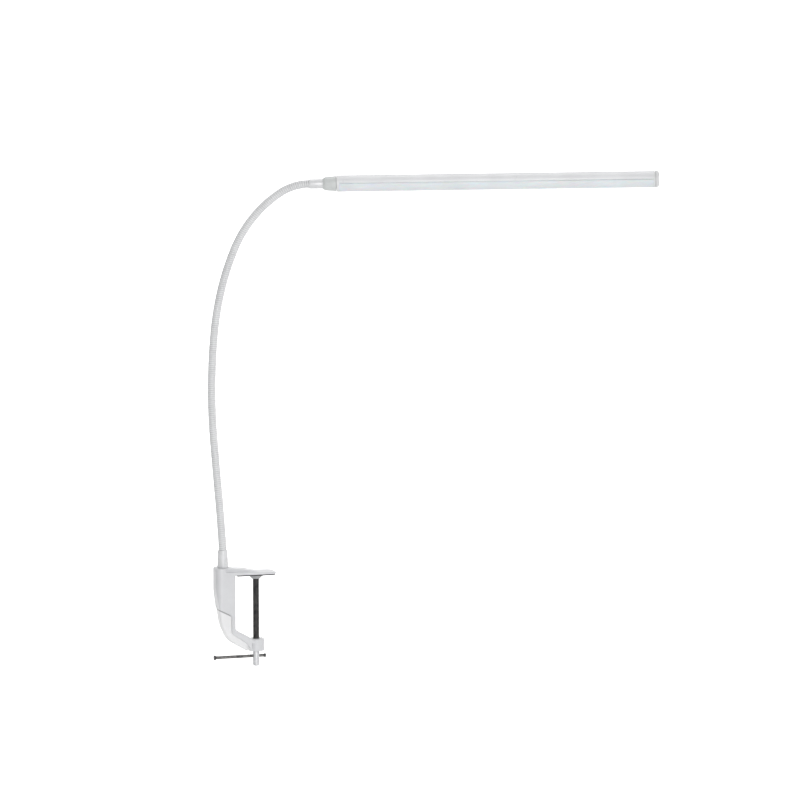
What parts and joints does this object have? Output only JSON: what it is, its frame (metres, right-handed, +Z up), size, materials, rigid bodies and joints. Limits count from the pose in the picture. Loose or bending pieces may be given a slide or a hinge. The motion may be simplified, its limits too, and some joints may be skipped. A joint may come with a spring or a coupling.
{
  "type": "clamp on reading lamp",
  "caption": "Reading lamp with a screw clamp for a table edge, a bendable ribbed neck and a slim round LED tube head that turns about its own length.",
  "frame": {"origin": "where the clamp screw's axis meets the underside of the jaw pad, which is the table top's surface when the lamp is clamped", "axes": "+X out of the clamp's throat over the table, +Y to the clamp's far side where the cord gland is, +Z up"},
  "size_m": [0.5072, 0.174, 0.5863],
  "materials": {
    "white_paint": "satin powder coat",
    "neck_coil": "satin paint over a ribbed coil",
    "lead_white": "flexible insulation",
    "white_plastic": "fine moulded grain",
    "dark_rubber": "matt",
    "black_oxide": "black oxide, oiled",
    "zinc": "bright zinc plate",
    "housing_white": "extruded, satin white",
    "frosted": "frosted, translucent",
    "tape_grey": "soft thermal pad",
    "board_white": "white solder mask",
    "led_phosphor": "phosphor under clear resin",
    "insulator_sheet": "insulating film",
    "green_board": "green solder mask",
    "black_parts": "moulded parts"
  },
  "bodies": {
    "clamp": {"clamp_frame": "white_paint", "jaw_pad": "dark_rubber", "side_cover": "white_paint", "cover_screws": "zinc", "cord_gland": "dark_rubber", "base_ferrule": "white_paint", "neck_stud": "zinc", "neck_washer": "zinc", "neck_nut": "zinc", "base_lead": "lead_white", "lead_connector": "white_plastic"},
    "foot": {"swivel_pad": "white_plastic"},
    "screw": {"clamp_screw": "black_oxide", "screw_head": "zinc", "pad_rivet": "zinc"},
    "bar": {"tommy_bar": "black_oxide", "tommy_bar_heads": "black_oxide"},
    "neck_1": {"neck_length_1": "neck_coil", "neck_lead_1": "lead_white"},
    "neck_2": {"neck_length_2": "neck_coil", "neck_lead_2": "lead_white"},
    "neck_3": {"neck_length_3": "neck_coil", "neck_lead_3": "lead_white"},
    "neck_4": {"neck_length_4": "neck_coil", "neck_lead_4": "lead_white"},
    "neck_5": {"neck_length_5": "neck_coil", "neck_lead_5": "lead_white"},
    "neck_6": {"neck_length_6": "neck_coil", "neck_lead_6": "lead_white"},
    "neck_7": {"neck_length_7": "neck_coil", "neck_lead_7": "lead_white"},
    "neck_8": {"neck_length_8": "neck_coil", "neck_lead_8": "lead_white"},
    "neck_9": {"neck_length_9": "neck_coil", "neck_lead_9": "lead_white", "top_ferrule": "white_paint", "swivel_collar": "white_plastic", "friction_washer": "zinc", "spigot_nut": "zinc"},
    "head": {"head_housing": "housing_white", "diffuser": "frosted", "near_plug": "white_plastic", "stop_pin": "zinc", "grub_screw": "zinc", "thermal_tape": "tape_grey", "led_board": "board_white", "leds": "led_phosphor", "driver_insulator": "insulator_sheet", "driver_board": "green_board", "driver_parts": "black_parts", "head_lead": "lead_white", "end_cap": "white_plastic", "cap_screws": "zinc"}
  },
  "joints": [
    {"name": "clamp_close", "type": "slide", "parent": "clamp", "child": "foot", "axis": [0, 0, 1], "range_m": [-0.07, 0]},
    {"name": "screw_turn", "type": "hinge", "parent": "foot", "child": "screw", "pos_m": [0, 0, -0.0976], "axis": [0, 0, 1], "range_deg": [-20170, 10]},
    {"name": "bar_slide", "type": "slide", "parent": "screw", "child": "bar", "axis": [1, 0, 0], "range_m": [-0.0044, 0.0442]},
    {"name": "neck_bend_1", "type": "hinge", "parent": "clamp", "child": "neck_1", "pos_m": [-0.04, 0, 0.0315], "axis": [0.2924, 0.9563, 0], "range_deg": [-20, 20]},
    {"name": "neck_sway_2", "type": "hinge", "parent": "neck_1", "child": "neck_2", "pos_m": [-0.04446, 0.00136, 0.09733], "axis": [0.953, -0.2913, 0.0837], "range_deg": [-20, 20]},
    {"name": "neck_bend_3", "type": "hinge", "parent": "neck_2", "child": "neck_3", "pos_m": [-0.04946, 0.00289, 0.16313], "axis": [0.2924, 0.9563, 0], "range_deg": [-20, 20]},
    {"name": "neck_sway_4", "type": "hinge", "parent": "neck_3", "child": "neck_4", "pos_m": [-0.0513, 0.00345, 0.22418], "axis": [0.9562, -0.2923, -0.0122], "range_deg": [-20, 20]},
    {"name": "neck_bend_5", "type": "hinge", "parent": "neck_4", "child": "neck_5", "pos_m": [-0.04835, 0.00255, 0.28408], "axis": [0.2924, 0.9563, 0], "range_deg": [-20, 20]},
    {"name": "neck_sway_6", "type": "hinge", "parent": "neck_5", "child": "neck_6", "pos_m": [-0.03956, -0.00013, 0.33927], "axis": [0.9291, -0.2841, -0.2368], "range_deg": [-20, 20]},
    {"name": "neck_bend_7", "type": "hinge", "parent": "neck_6", "child": "neck_7", "pos_m": [-0.02445, -0.00475, 0.38665], "axis": [0.2924, 0.9563, 0], "range_deg": [-20, 20]},
    {"name": "neck_sway_8", "type": "hinge", "parent": "neck_7", "child": "neck_8", "pos_m": [-0.00242, -0.01149, 0.42394], "axis": [0.7304, -0.2233, -0.6455], "range_deg": [-20, 20]},
    {"name": "neck_bend_9", "type": "hinge", "parent": "neck_8", "child": "neck_9", "pos_m": [0.02601, -0.02018, 0.45052], "axis": [0.2924, 0.9563, 0], "range_deg": [-20, 20]},
    {"name": "head_turn", "type": "hinge", "parent": "neck_9", "child": "head", "pos_m": [0.0894, -0.03956, 0.46153], "axis": [0.9562, -0.2923, 0.014], "range_deg": [-160, 160]}
  ],
  "couplings": [
    {"joint": "screw_turn", "follows": "clamp_close", "rad_per_m": 5026.5}
  ]
}
